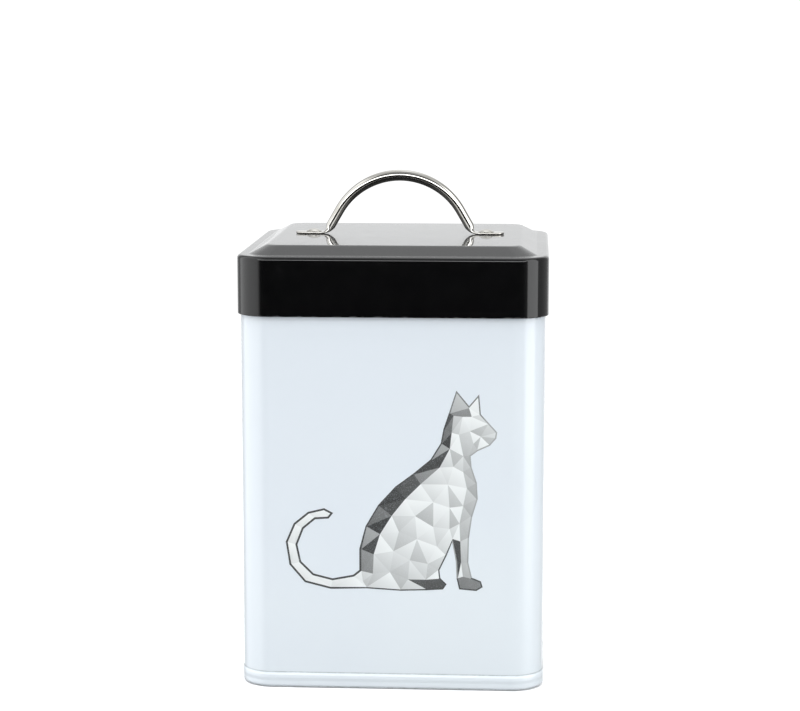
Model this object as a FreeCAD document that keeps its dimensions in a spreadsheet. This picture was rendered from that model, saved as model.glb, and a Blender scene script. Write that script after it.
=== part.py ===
import FreeCAD, Part
import math
import os
import Sketcher

# Square slip-lid storage tin: a sheet-metal sleeve with a seamed base and a rolled collar at
# the mouth, and a pressed lid with a riveted bow handle, shown closed.
# Frame: origin at the centre of the footprint on the resting plane, +X right, +Y back, +Z up.
# The front wall faces -Y. Millimetres.

DRIVING = [
    # alias, value, meaning
    ("sheet", 0.5, "sheet thickness, enamel included"),
    # sleeve
    ("body_half", 84.5, "half width of the body walls, outside"),
    ("body_corner", 18.0, "plan corner radius of the body walls, outside"),
    ("neck_half", 84.2, "half width of the neck band, outside"),
    ("shell_low", 2.6, "lower edge of the sleeve, inside the base seam"),
    ("shell_high", 239.8, "upper edge of the sleeve, inside the collar"),
    ("shoulder_top", 218.0, "crease between shoulder and neck"),
    ("shoulder_round", 1.6, "height and radius of the shoulder's rounding"),
    ("crease_in", 0.3, "depth of the crease behind the neck band"),
    ("wall_drop", 0.4, "outer wall's end below the shoulder's rounding"),
    ("wall_drop_in", 0.5, "inner wall's end below the shoulder's rounding"),
    ("crease_drop", 0.1, "outer foot of the crease below shoulder_top"),
    ("crease_drop_in", 0.2, "inner crease below shoulder_top"),
    ("crease_rise", 0.2, "outer head of the crease above shoulder_top"),
    ("neck_rise", 0.7, "outer foot of the neck above shoulder_top"),
    ("neck_rise_in", 0.5, "inner foot of the neck above shoulder_top"),
    ("seam_wide", 6.0, "width of the rear lock seam"),
    ("seam_proud", 0.35, "how far the lock seam stands out of the wall"),
    ("seam_gap_low", 0.6, "lock seam's lower end above the base seam"),
    ("seam_gap_high", 2.4, "lock seam's upper end below the shoulder's rounding"),
    # collar
    ("rim_top", 242.0, "height of the open tin"),
    ("collar_half", 85.0, "half width of the mouth collar, outside"),
    ("collar_low", 228.5, "lower edge of the collar band"),
    ("collar_lip", 5.2, "width of the flat lip round the mouth"),
    ("collar_turn", 4.3, "depth of the inner down-turn"),
    ("collar_round", 2.8, "rounding of the collar's top outer edge"),
    ("lip_bend", 0.3, "inside radius of the bend from lip to down-turn"),
    # base
    ("rim_half", 85.1, "half width of the base seam, outside"),
    ("rim_high", 8.6, "top of the base seam"),
    ("rim_round", 3.0, "rounding of the base's lower outer edge"),
    ("rim_inner", 79.6, "half width of the recess under the base"),
    ("floor_under", 5.0, "height of the floor's underside"),
    # lid
    ("lid_half", 86.2, "half width of the lid skirt, outside"),
    ("lid_corner", 19.2, "plan corner radius of the lid skirt"),
    ("lid_seat", 0.05, "gap between the collar's lip and the lid"),
    ("lid_skirt", 33.0, "skirt height"),
    ("lid_round", 2.2, "rounding of the lid's shoulder edge"),
    ("lid_ledge", 6.6, "inset of the foot of the raised panel"),
    ("lid_panel", 16.0, "inset of the raised panel's top"),
    ("lid_raise", 5.1, "height of the raised panel over the ledge"),
    ("panel_strip", 1.0, "flat strip inside the panel's edge that joins the panel"),
    ("hem_wide", 0.95, "thickness of the folded hem"),
    ("hem_high", 3.0, "height of the folded hem"),
    ("hem_slant", 0.3, "fall of the hem's top edge towards the inside"),
    # handle
    ("wire_dia", 6.4, "handle wire diameter at the grip"),
    ("arch_rise", 33.8, "height of the wire's centre line over the panel"),
    ("arch_round", 40.5, "radius of the arch"),
    ("leg_slope", 60.0, "slope of the legs, degrees"),
    ("root_high", 2.4, "height of the wire's centre line at its roots"),
    ("foot_thick", 1.2, "thickness of the flattened feet"),
    ("foot_wide", 11.0, "width of the feet"),
    ("foot_corner", 4.2, "plan rounding of the feet"),
    ("foot_in", 38.4, "inner end of each foot from the centre"),
    ("foot_out", 60.5, "outer end of each foot from the centre"),
    # rivets and washers
    ("rivet_out", 50.0, "rivet axis from the centre"),
    ("rivet_shank", 4.0, "rivet shank diameter"),
    ("rivet_hole", 4.1, "hole diameter in foot, lid and washer"),
    ("rivet_head", 9.0, "rivet head diameter"),
    ("rivet_dome", 1.7, "rivet head height"),
    ("rivet_tail", 6.4, "diameter of the clinched tail"),
    ("tail_high", 1.0, "height of the clinched tail"),
    ("shank_bite", 0.2, "overlap of the shank into head and tail"),
    ("washer_dia", 13.0, "backing washer diameter"),
    ("washer_thick", 0.8, "backing washer thickness"),
    ("tool_over", 1.0, "overrun of the trimming cylinders"),
]


class Size:
    """A length with the spreadsheet expression that drives it."""

    def __init__(self, value, text):
        self.value = float(value)
        self.text = text

    @staticmethod
    def of(other):
        return other if isinstance(other, Size) else Size(other, repr(float(other)))

    def __add__(self, other):
        other = Size.of(other)
        return Size(self.value + other.value, "(%s + %s)" % (self.text, other.text))

    def __sub__(self, other):
        other = Size.of(other)
        return Size(self.value - other.value, "(%s - %s)" % (self.text, other.text))

    def __mul__(self, other):
        other = Size.of(other)
        return Size(self.value * other.value, "(%s * %s)" % (self.text, other.text))

    def __truediv__(self, other):
        other = Size.of(other)
        return Size(self.value / other.value, "(%s / %s)" % (self.text, other.text))

    def __neg__(self):
        return Size(-self.value, "(0 - %s)" % self.text)

    def sin(self):
        return Size(math.sin(math.radians(self.value)), "sin(%s * 1deg)" % self.text)

    def cos(self):
        return Size(math.cos(math.radians(self.value)), "cos(%s * 1deg)" % self.text)


doc = FreeCAD.newDocument("slip_lid_tin")
sheet_of_dims = doc.addObject("Spreadsheet::Sheet", "dims")
dim = {}
for row, (alias, value, meaning) in enumerate(DRIVING, start=1):
    sheet_of_dims.set("A%d" % row, meaning)
    sheet_of_dims.set("B%d" % row, repr(value))
    sheet_of_dims.setAlias("B%d" % row, alias)
    dim[alias] = Size(value, "dims." + alias)
doc.recompute()

# Sizes and heights that several pieces share.
ZERO = Size(0, "0")
SHEET = dim["sheet"]
LEDGE_TOP = dim["rim_top"] + dim["lid_seat"] + SHEET
PANEL_TOP = LEDGE_TOP + dim["lid_raise"]
FOOT_TOP = PANEL_TOP + dim["foot_thick"]
WASHER_LOW = PANEL_TOP - SHEET - dim["washer_thick"]
SHOULDER_LOW = dim["shoulder_top"] - dim["shoulder_round"]


def corner_at(half, part="body"):
    """Corner radius of a square of this half width, concentric with the body's or lid's."""
    return dim[part + "_corner"] + half - dim[part + "_half"]


# Sketch helpers

def sketch_on(body, name, role, offset=None):
    """A sketch on one of the body's own origin planes, moved along its normal if asked."""
    plane = next(f for f in body.Origin.OriginFeatures if f.Role == role)
    sketch = body.newObject("Sketcher::SketchObject", name)
    sketch.AttachmentSupport = [(plane, "")]
    sketch.MapMode = "FlatFace"
    if offset is not None:
        lift = FreeCAD.Vector(0, 0, offset.value)
        sketch.AttachmentOffset = FreeCAD.Placement(lift, FreeCAD.Rotation())
        sketch.setExpression("AttachmentOffset.Base.z", offset.text)
    return sketch


def constrain(sketch, size, kind, *where):
    """Add a dimensional constraint driven by the size's expression."""
    index = sketch.addConstraint(Sketcher.Constraint(kind, *where, size.value))
    sketch.setExpression("Constraints[%d]" % index, size.text)


def pin(sketch, edge, vertex, x, y):
    """Fix a vertex at (x, y); None leaves that direction free."""
    for kind, size, zero_axis in (("DistanceX", x, -2), ("DistanceY", y, -1)):
        if size is None:
            continue
        if abs(size.value) < 1e-9:
            on_axis = Sketcher.Constraint("PointOnObject", edge, vertex, zero_axis)
            sketch.addConstraint(on_axis)
        elif size.value > 0:
            constrain(sketch, size, kind, -1, 1, edge, vertex)
        else:
            constrain(sketch, -size, kind, edge, vertex, -1, 1)


def add_line(sketch, begin, end):
    return sketch.addGeometry(Part.LineSegment(begin, end), False)


def add_arc(sketch, centre, radius, first_angle, last_angle):
    circle = Part.Circle(centre, FreeCAD.Vector(0, 0, 1), radius)
    return sketch.addGeometry(Part.ArcOfCircle(circle, first_angle, last_angle), False)


def rounded_square(sketch, half, corner):
    """A closed rounded square about the origin, starting at the middle of its +X side."""
    side, radius = half.value, corner.value
    flat = side - radius
    quarter = math.pi / 2

    def line(x0, y0, x1, y1):
        return add_line(sketch, FreeCAD.Vector(x0, y0, 0), FreeCAD.Vector(x1, y1, 0))

    def arc(x, y, turns):
        start = turns * quarter
        return add_arc(sketch, FreeCAD.Vector(x, y, 0), radius, start, start + quarter)

    edges = [
        line(side, 0, side, flat),
        arc(flat, flat, 0),
        line(flat, side, -flat, side),
        arc(-flat, flat, 1),
        line(-side, flat, -side, -flat),
        arc(-flat, -flat, 2),
        line(-flat, -side, flat, -side),
        arc(flat, -flat, 3),
        line(side, -flat, side, 0),
    ]
    for i in range(8):
        sketch.addConstraint(Sketcher.Constraint("Tangent", edges[i], 2, edges[i + 1], 1))
    sketch.addConstraint(Sketcher.Constraint("Coincident", edges[8], 2, edges[0], 1))
    for i in (0, 4):
        sketch.addConstraint(Sketcher.Constraint("Vertical", edges[i]))
    for i in (2, 6):
        sketch.addConstraint(Sketcher.Constraint("Horizontal", edges[i]))
    for i in (3, 5, 7):
        sketch.addConstraint(Sketcher.Constraint("Equal", edges[1], edges[i]))
    constrain(sketch, corner, "Radius", edges[1])
    pin(sketch, edges[0], 1, half, ZERO)
    pin(sketch, edges[2], 1, None, half)
    pin(sketch, edges[4], 1, -half, None)
    pin(sketch, edges[6], 1, None, -half)


def profile(sketch, points, closed=True):
    """Lines and arcs through driven points. A point is (x, y) when a line leads to it, or
    (x, y, radius, turn) when an arc does, with turn +1 anticlockwise and -1 clockwise."""
    if closed:
        points = points + [points[0]]
    steps = points[1:]
    edges = []
    vertices = []  # start and end vertex number of each edge, swapped on a clockwise arc
    for (x0, y0, *_), (x1, y1, *bend) in zip(points, steps):
        begin = FreeCAD.Vector(x0.value, y0.value, 0)
        end = FreeCAD.Vector(x1.value, y1.value, 0)
        if not bend:
            edges.append(add_line(sketch, begin, end))
            vertices.append((1, 2))
            continue
        radius, turn = bend[0].value, bend[1]
        chord = end - begin
        height = math.sqrt(max(radius**2 - chord.Length**2 / 4, 0))
        normal = FreeCAD.Vector(-chord.y, chord.x, 0)
        normal.normalize()
        centre = (begin + end) * 0.5 + normal * height * turn
        first, last = (begin, end) if turn > 0 else (end, begin)
        first_angle = math.atan2(first.y - centre.y, first.x - centre.x)
        last_angle = math.atan2(last.y - centre.y, last.x - centre.x)
        if last_angle <= first_angle:
            last_angle += 2 * math.pi
        edges.append(add_arc(sketch, centre, radius, first_angle, last_angle))
        vertices.append((1, 2) if turn > 0 else (2, 1))

    count = len(edges)
    for i in range(count if closed else count - 1):
        j = (i + 1) % count
        sketch.addConstraint(Sketcher.Constraint(
            "Coincident", edges[i], vertices[i][1], edges[j], vertices[j][0]))
    for i, step in enumerate(steps):
        pin(sketch, edges[i], vertices[i][0], *points[i][:2])
        if len(step) == 4:
            constrain(sketch, step[2], "Radius", edges[i])
    if not closed:
        pin(sketch, edges[-1], vertices[-1][1], *points[-1][:2])


# Feature helpers

def pipe_along(body, name, section, path, edge_count):
    pipe = body.newObject("PartDesign::AdditivePipe", name)
    pipe.Profile = section
    pipe.Spine = (path, ["Edge%d" % i for i in range(1, edge_count + 1)])
    doc.recompute()


def ring(body, name, half, corner, points):
    """A sheet section, drawn at the +X wall, carried round a rounded square."""
    path = sketch_on(body, name + "_path", "XY_Plane")
    rounded_square(path, half, corner)
    section = sketch_on(body, name + "_section", "XZ_Plane")
    profile(section, points)
    pipe_along(body, name, section, path, 9)
    path.Visibility = False


def extrude(body, kind, name, sketch, length):
    feature = body.newObject("PartDesign::" + kind, name)
    feature.Profile = sketch
    feature.Length = length.value
    feature.setExpression("Length", length.text)
    doc.recompute()


def rivet_holes(body, name, sketch_name, height, thickness):
    """Two rivet holes cut downwards from a height, through twice the thickness."""
    sketch = sketch_on(body, sketch_name, "XY_Plane", height)
    diameter = dim["rivet_hole"]
    for x in (-dim["rivet_out"], dim["rivet_out"]):
        centre = FreeCAD.Vector(x.value, 0, 0)
        circle = Part.Circle(centre, FreeCAD.Vector(0, 0, 1), diameter.value / 2)
        edge = sketch.addGeometry(circle, False)
        pin(sketch, edge, 3, x, ZERO)
        constrain(sketch, diameter, "Diameter", edge)
    before = body.Shape.Volume
    extrude(body, "Pocket", name, sketch, thickness * 2)
    if body.Shape.Volume > before - 1e-3:
        raise RuntimeError(name + " removes nothing")


def drive(solid, **sizes):
    for name, size in sizes.items():
        setattr(solid, name, size.value)
        solid.setExpression(name, size.text)


def place(solid, x, z):
    base = FreeCAD.Vector(x.value, 0, z.value)
    solid.Placement = FreeCAD.Placement(base, FreeCAD.Rotation())
    solid.setExpression("Placement.Base.x", x.text)
    solid.setExpression("Placement.Base.z", z.text)


def cylinder(name, diameter, height, x, low):
    solid = doc.addObject("Part::Cylinder", name)
    drive(solid, Radius=diameter / 2, Height=height)
    place(solid, x, low)
    return solid


# Pieces

def make_shell():
    """Sleeve: wall, shoulder rounding, crease and neck band, with the rear lock seam."""
    body = doc.addObject("PartDesign::Body", "body_shell")
    wall_out, neck_out = dim["body_half"], dim["neck_half"]
    wall_in, neck_in = wall_out - SHEET, neck_out - SHEET
    crease = neck_out - dim["crease_in"]
    top, high = dim["shoulder_top"], dim["shell_high"]
    ring(body, "sleeve", wall_out, dim["body_corner"], [
        (wall_in, dim["shell_low"]),
        (wall_out, dim["shell_low"]),
        (wall_out, SHOULDER_LOW - dim["wall_drop"]),
        (crease, top - dim["crease_drop"], dim["shoulder_round"], 1),
        (crease, top + dim["crease_rise"]),
        (neck_out, top + dim["neck_rise"]),
        (neck_out, high),
        (neck_in, high),
        (neck_in, top + dim["neck_rise_in"]),
        (crease - SHEET, top - dim["crease_drop_in"]),
        (wall_in, SHOULDER_LOW - dim["wall_drop_in"]),
    ])
    # Lock seam down the middle of the rear wall, folded to the outside.
    seam_low = dim["rim_high"] + dim["seam_gap_low"]
    seam_high = SHOULDER_LOW - dim["seam_gap_high"]
    seam_side = dim["seam_wide"] / 2
    seam_back = wall_out + dim["seam_proud"]
    outline = sketch_on(body, "seam_outline", "XY_Plane", seam_low)
    profile(outline, [
        (-seam_side, wall_in), (seam_side, wall_in),
        (seam_side, seam_back), (-seam_side, seam_back),
    ])
    extrude(body, "Pad", "lock_seam", outline, seam_high - seam_low)
    return body


def make_collar():
    """Collar: outside band, rounded top edge, flat lip, inner down-turn."""
    body = doc.addObject("PartDesign::Body", "top_collar")
    outer, top, low = dim["collar_half"], dim["rim_top"], dim["collar_low"]
    inner = outer - dim["collar_lip"]
    edge_round = dim["collar_round"]
    lip_round = SHEET + dim["lip_bend"]
    turn_low = top - dim["collar_turn"]
    ring(body, "collar_ring", outer, corner_at(outer), [
        (outer, low),
        (outer, top - edge_round),
        (outer - edge_round, top, edge_round, 1),
        (inner + lip_round, top),
        (inner, top - lip_round, lip_round, 1),
        (inner, turn_low),
        (inner + SHEET, turn_low),
        (inner + SHEET, top - lip_round),
        (inner + lip_round, top - SHEET, lip_round - SHEET, -1),
        (outer - edge_round, top - SHEET),
        (outer - SHEET, top - edge_round, edge_round - SHEET, -1),
        (outer - SHEET, low),
    ])
    return body


def make_base():
    """Base: seam channel that takes the sleeve's lower edge, and the floor raised inside it."""
    body = doc.addObject("PartDesign::Body", "base_plate")
    outer, inner, edge_round = dim["rim_half"], dim["rim_inner"], dim["rim_round"]
    floor_top = dim["floor_under"] + SHEET
    ring(body, "seam_channel", outer, corner_at(outer), [
        (inner, ZERO),
        (outer - edge_round, ZERO),
        (outer, edge_round, edge_round, 1),
        (outer, dim["rim_high"]),
        (outer - SHEET, dim["rim_high"]),
        (outer - SHEET, edge_round),
        (outer - edge_round, SHEET, edge_round - SHEET, -1),
        (inner + SHEET, SHEET),
        (inner + SHEET, floor_top),
        (inner, floor_top),
    ])
    # The floor reaches halfway into the channel's inner wall, so the two join.
    floor_half = inner + SHEET / 2
    outline = sketch_on(body, "floor_outline", "XY_Plane", dim["floor_under"])
    rounded_square(outline, floor_half, corner_at(floor_half))
    extrude(body, "Pad", "floor", outline, SHEET)
    return body


def make_lid():
    """Lid: hemmed skirt, rounded shoulder, ledge, sloped side and raised panel."""
    body = doc.addObject("PartDesign::Body", "lid_cap")
    outer, edge_round = dim["lid_half"], dim["lid_round"]
    low = LEDGE_TOP - dim["lid_skirt"]
    hem_in, hem_top = outer - dim["hem_wide"], low + dim["hem_high"]
    slope_foot = outer - dim["lid_ledge"]
    panel_edge = outer - dim["lid_panel"]
    strip_in = panel_edge - dim["panel_strip"]
    ring(body, "pressing", outer, dim["lid_corner"], [
        (hem_in, low),
        (outer, low),
        (outer, LEDGE_TOP - edge_round),
        (outer - edge_round, LEDGE_TOP, edge_round, 1),
        (slope_foot, LEDGE_TOP),
        (panel_edge, PANEL_TOP),
        (strip_in, PANEL_TOP),
        (strip_in, PANEL_TOP - SHEET),
        (panel_edge, PANEL_TOP - SHEET),
        (slope_foot, LEDGE_TOP - SHEET),
        (outer - edge_round, LEDGE_TOP - SHEET),
        (outer - SHEET, LEDGE_TOP - edge_round, edge_round - SHEET, -1),
        (outer - SHEET, hem_top),
        (hem_in, hem_top - dim["hem_slant"]),
    ])
    # The panel reaches halfway across the strip, so the two join.
    panel_half = panel_edge - dim["panel_strip"] / 2
    outline = sketch_on(body, "panel_outline", "XY_Plane", PANEL_TOP - SHEET)
    rounded_square(outline, panel_half, corner_at(panel_half, "lid"))
    extrude(body, "Pad", "panel", outline, SHEET)
    rivet_holes(body, "rivet_holes", "rivet_hole_spots", PANEL_TOP, SHEET)
    return body


def make_handle():
    """Handle: round wire arch running into two flattened feet."""
    body = doc.addObject("PartDesign::Body", "lid_handle")
    bend, slope = dim["arch_round"], dim["leg_slope"]
    # The straight legs leave the arch at its tangent points and run down to the roots.
    tangent_x = bend * slope.sin()
    tangent_z = PANEL_TOP + dim["arch_rise"] - bend + bend * slope.cos()
    root_z = PANEL_TOP + dim["root_high"]
    root_x = tangent_x + (tangent_z - root_z) * slope.cos() / slope.sin()
    spine = sketch_on(body, "arch_path", "XZ_Plane")
    profile(spine, [
        (-root_x, root_z),
        (-tangent_x, tangent_z),
        (tangent_x, tangent_z, bend, -1),
        (root_x, root_z),
    ], closed=False)

    section = body.newObject("Sketcher::SketchObject", "wire_section")
    section.AttachmentSupport = [(spine, "Edge1")]
    section.MapMode = "NormalToEdge"
    section.MapPathParameter = 0.0
    origin, normal = FreeCAD.Vector(0, 0, 0), FreeCAD.Vector(0, 0, 1)
    circle = Part.Circle(origin, normal, dim["wire_dia"].value / 2)
    wire = section.addGeometry(circle, False)
    section.addConstraint(Sketcher.Constraint("Coincident", wire, 3, -1, 1))
    constrain(section, dim["wire_dia"], "Diameter", wire)
    doc.recompute()
    pipe_along(body, "arch", section, spine, 3)

    side, corner = dim["foot_wide"] / 2, dim["foot_corner"]
    inner, outer = dim["foot_in"], dim["foot_out"]
    right_foot = [
        (inner, -side),
        (outer - corner, -side),
        (outer, corner - side, corner, 1),
        (outer, side - corner),
        (outer - corner, side, corner, 1),
        (inner, side),
    ]
    # Half a turn about the centre takes the right foot to the left one.
    left_foot = [(-x, -y, *arc) for x, y, *arc in right_foot]
    outline = sketch_on(body, "feet_outline", "XY_Plane", PANEL_TOP)
    profile(outline, right_foot)
    profile(outline, left_foot)
    extrude(body, "Pad", "feet", outline, dim["foot_thick"])
    rivet_holes(body, "foot_holes", "foot_hole_spots", FOOT_TOP, dim["foot_thick"])
    return body


def make_rivet(label, x):
    """Domed head on the foot, shank through foot, lid and washer, clinched tail below."""
    head, dome_high = dim["rivet_head"], dim["rivet_dome"]
    bite, tail_high = dim["shank_bite"], dim["tail_high"]
    shank_high = FOOT_TOP - WASHER_LOW + bite * 2
    shank = cylinder(label + "_shank", dim["rivet_shank"], shank_high, x, WASHER_LOW - bite)
    tail = cylinder(label + "_tail", dim["rivet_tail"], tail_high, x, WASHER_LOW - tail_high)
    # The head is a spherical cap; its radius follows from its diameter and height.
    ball_radius = (head * head / 4 + dome_high * dome_high) / (dome_high * 2)
    ball = doc.addObject("Part::Sphere", label + "_ball")
    drive(ball, Radius=ball_radius)
    place(ball, x, FOOT_TOP + dome_high - ball_radius)
    blank = cylinder(label + "_head_blank", head, dome_high + dim["tool_over"], x, FOOT_TOP)
    dome = doc.addObject("Part::Common", label + "_dome")
    dome.Base = ball
    dome.Tool = blank
    rivet = doc.addObject("Part::MultiFuse", label)
    rivet.Shapes = [dome, shank, tail]
    rivet.Refine = True
    return rivet


def make_washer(label, x):
    """Backing washer under the lid's panel."""
    thick, over = dim["washer_thick"], dim["tool_over"]
    disc = cylinder(label + "_disc", dim["washer_dia"], thick, x, WASHER_LOW)
    hole_high = thick + over * 2
    hole = cylinder(label + "_hole", dim["rivet_hole"], hole_high, x, WASHER_LOW - over)
    washer = doc.addObject("Part::Cut", label)
    washer.Base = disc
    washer.Tool = hole
    return washer


def make_pair(label, name, make):
    """A left and a right copy on the two rivet axes."""
    pair = doc.addObject("Part::Compound", label)
    out = dim["rivet_out"]
    pair.Links = [make(name + "_left", -out), make(name + "_right", out)]
    return pair


# Each piece with the number of solids it must have.
pieces = [
    (make_shell(), 1),
    (make_collar(), 1),
    (make_base(), 1),
    (make_lid(), 1),
    (make_handle(), 1),
    (make_pair("handle_rivets", "rivet", make_rivet), 2),
    (make_pair("rivet_washers", "washer", make_washer), 2),
]
doc.recompute()

failed = [o.Label for o in doc.Objects if "Invalid" in o.State or "Error" in o.State]
if failed:
    raise RuntimeError("failed features: " + "; ".join(failed))
for piece, solid_count in pieces:
    shape = piece.Shape
    if shape.isNull() or not shape.isValid():
        raise RuntimeError(piece.Label + " has no valid shape")
    if len(shape.Solids) != solid_count:
        raise RuntimeError(
            "%s has %d solids, not %d" % (piece.Label, len(shape.Solids), solid_count))

os.makedirs("parts", exist_ok=True)
for piece, _ in pieces:
    piece.Shape.exportStep("parts/" + piece.Label + ".step")
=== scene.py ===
"""A white enamelled square tin with a printed cat, and its black lid with a bright wire handle.

The tin stands on z = 0, centred on the z axis. The front, with the picture, faces -y; the body's
lock seam runs up the back, at +y. Sizes are in mm until a mesh is made.
"""

import math

import bpy
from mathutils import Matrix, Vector
from mathutils.geometry import delaunay_2d_cdt


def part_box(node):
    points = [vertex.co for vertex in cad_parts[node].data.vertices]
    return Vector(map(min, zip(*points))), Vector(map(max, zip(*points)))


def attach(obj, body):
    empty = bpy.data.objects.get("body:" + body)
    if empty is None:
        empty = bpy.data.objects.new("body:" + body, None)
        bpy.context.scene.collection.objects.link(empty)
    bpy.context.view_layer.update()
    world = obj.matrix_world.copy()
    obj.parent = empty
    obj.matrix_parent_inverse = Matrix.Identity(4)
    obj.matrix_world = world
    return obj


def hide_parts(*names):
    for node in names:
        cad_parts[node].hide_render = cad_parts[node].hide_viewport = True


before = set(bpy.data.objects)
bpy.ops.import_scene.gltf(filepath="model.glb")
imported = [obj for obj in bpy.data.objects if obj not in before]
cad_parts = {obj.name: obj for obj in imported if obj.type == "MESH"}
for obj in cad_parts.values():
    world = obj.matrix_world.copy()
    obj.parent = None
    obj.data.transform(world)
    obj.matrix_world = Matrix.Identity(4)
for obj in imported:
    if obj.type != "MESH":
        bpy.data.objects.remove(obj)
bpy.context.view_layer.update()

MM = 0.001
scene = bpy.context.scene


# ---------------------------------------------------------------- sizes read from the frame
def mm_box(node):
    low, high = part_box(node)
    return [v * 1000 for v in low], [v * 1000 for v in high]


collar_lo, collar_hi = mm_box("top_collar")
base_hi = mm_box("base_plate")[1]
shell_lo, shell_hi = mm_box("body_shell")
lid_lo, lid_hi = mm_box("lid_cap")
grip_lo, grip_hi = mm_box("lid_handle")
rivet_lo, rivet_hi = mm_box("handle_rivets")
washer_lo, washer_hi = mm_box("rivet_washers")

SHEET = 0.5                    # sheet thickness
# half widths
COLLAR = collar_hi[0]
BODY = COLLAR - 0.5
NECK = BODY - 0.3
RIM = base_hi[0]
LID = lid_hi[0]
# levels
TOP = collar_hi[2]
BAND = collar_lo[2]            # lower edge of the collar
CREASE = TOP - 24.0            # groove between the body and its neck
RIM_TOP = base_hi[2]
SEAM_LOW, SEAM_HIGH = RIM_TOP + 0.6, CREASE - 6.0
LID_LOW = lid_lo[2]
PANEL = lid_hi[2]              # raised middle of the lid
LEDGE = PANEL - 5.1
# corner radii and, from them, how far out the corner centres stand
BODY_R, LID_R = 18.0, 19.2
BODY_CENTRE = BODY - BODY_R
LID_CENTRE = LID - LID_R
BASE_CENTRE = RIM - BODY_R - 0.6

N_ARC = 20                     # chords round each corner
N_SIDE = 26                    # divisions along each side
CAP_SCALES = (0.96, 0.9, 0.82, 0.72, 0.6, 0.48, 0.36, 0.24, 0.12, 0.04)


# ---------------------------------------------------------------- mesh tools
def rounded(corners, closed=False, step=9.0):
    """A polyline through (x, z, radius) corners, each an arc with chords of up to step degrees."""
    line = []
    count = len(corners)
    for i, (x, z, radius) in enumerate(corners):
        if radius <= 0 or (not closed and i in (0, count - 1)):
            line.append((x, z))
            continue
        corner = Vector((x, z))
        back = Vector(corners[i - 1][:2]) - corner
        ahead = Vector(corners[(i + 1) % count][:2]) - corner
        back_room, ahead_room = back.length, ahead.length
        back.normalize()
        ahead.normalize()
        half = math.acos(max(-1, min(1, back.dot(ahead)))) / 2
        if half > math.radians(89.5):              # nearly straight
            line.append((x, z))
            continue
        cut = min(radius / math.tan(half), back_room * 0.49, ahead_room * 0.49)
        radius = cut * math.tan(half)
        centre = corner + (back + ahead).normalized() * (radius / math.sin(half))
        start, end = corner + back * cut - centre, corner + ahead * cut - centre
        turn = math.pi - 2 * half
        chords = max(2, int(math.ceil(math.degrees(turn) / step)))
        sign = 1 if start.x * end.y - start.y * end.x > 0 else -1
        for j in range(chords + 1):
            angle = sign * turn * j / chords
            cos, sin = math.cos(angle), math.sin(angle)
            line.append((centre.x + start.x * cos - start.y * sin,
                         centre.y + start.x * sin + start.y * cos))
    return line


def densify(line, longest, closed=False):
    """The polyline with its segments divided so that none is over the longest length."""
    out = []
    count = len(line)
    for i in range(count if closed else count - 1):
        (x0, z0), (x1, z1) = line[i], line[(i + 1) % count]
        parts = max(1, int(math.ceil(math.hypot(x1 - x0, z1 - z0) / longest)))
        out += [(x0 + (x1 - x0) * j / parts, z0 + (z1 - z0) * j / parts) for j in range(parts)]
    return out if closed else out + [line[-1]]


def side_stations(extra=()):
    """Stations along one side, from -1 to 1 between its corner centres."""
    return sorted({round(-1 + 2 * j / N_SIDE, 4) for j in range(N_SIDE + 1)} | set(extra))


SIDES = [side_stations() for _ in range(4)]


def outline(half, centre, sides):
    """Points round a rounded square with corner centres at (+-centre, +-centre).

    Each is (x, y, normal x, normal y, side, station). Side 0 is right, 1 back, 2 left and
    3 front; the station is None in corners.
    """
    radius = half - centre
    points = []
    for side in range(4):
        start = side * math.pi / 2
        nx, ny = math.cos(start), math.sin(start)
        tx, ty = -ny, nx
        for t in sides[side]:
            points.append((nx * half + tx * centre * t, ny * half + ty * centre * t,
                           nx, ny, side, t))
        corner_x, corner_y = centre * (nx + tx), centre * (ny + ty)
        for j in range(1, N_ARC):
            angle = start + math.pi / 2 * j / N_ARC
            cos, sin = math.cos(angle), math.sin(angle)
            points.append((corner_x + radius * cos, corner_y + radius * sin,
                           cos, sin, side, None))
    return points


def make(name, verts, faces, mats, face_mats=None, smooth=True):
    """An object from mm vertices; smooth ones get weighted normals."""
    mesh = bpy.data.meshes.new(name)
    mesh.from_pydata([(x * MM, y * MM, z * MM) for x, y, z in verts], [], faces)
    for mat in mats:
        mesh.materials.append(mat)
    if face_mats:
        mesh.polygons.foreach_set("material_index", face_mats)
    mesh.polygons.foreach_set("use_smooth", [smooth] * len(mesh.polygons))
    mesh.validate()
    mesh.update()
    obj = bpy.data.objects.new(name, mesh)
    scene.collection.objects.link(obj)
    if smooth:
        normals = obj.modifiers.new("weighted", "WEIGHTED_NORMAL")
        normals.mode = "FACE_AREA"
        normals.weight = 50
        normals.keep_sharp = True
    return obj


def fit(obj, part, piece):
    """Tell the frame which part carries the object, and hide the piece it replaces."""
    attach(obj, part)
    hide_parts(piece)


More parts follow.
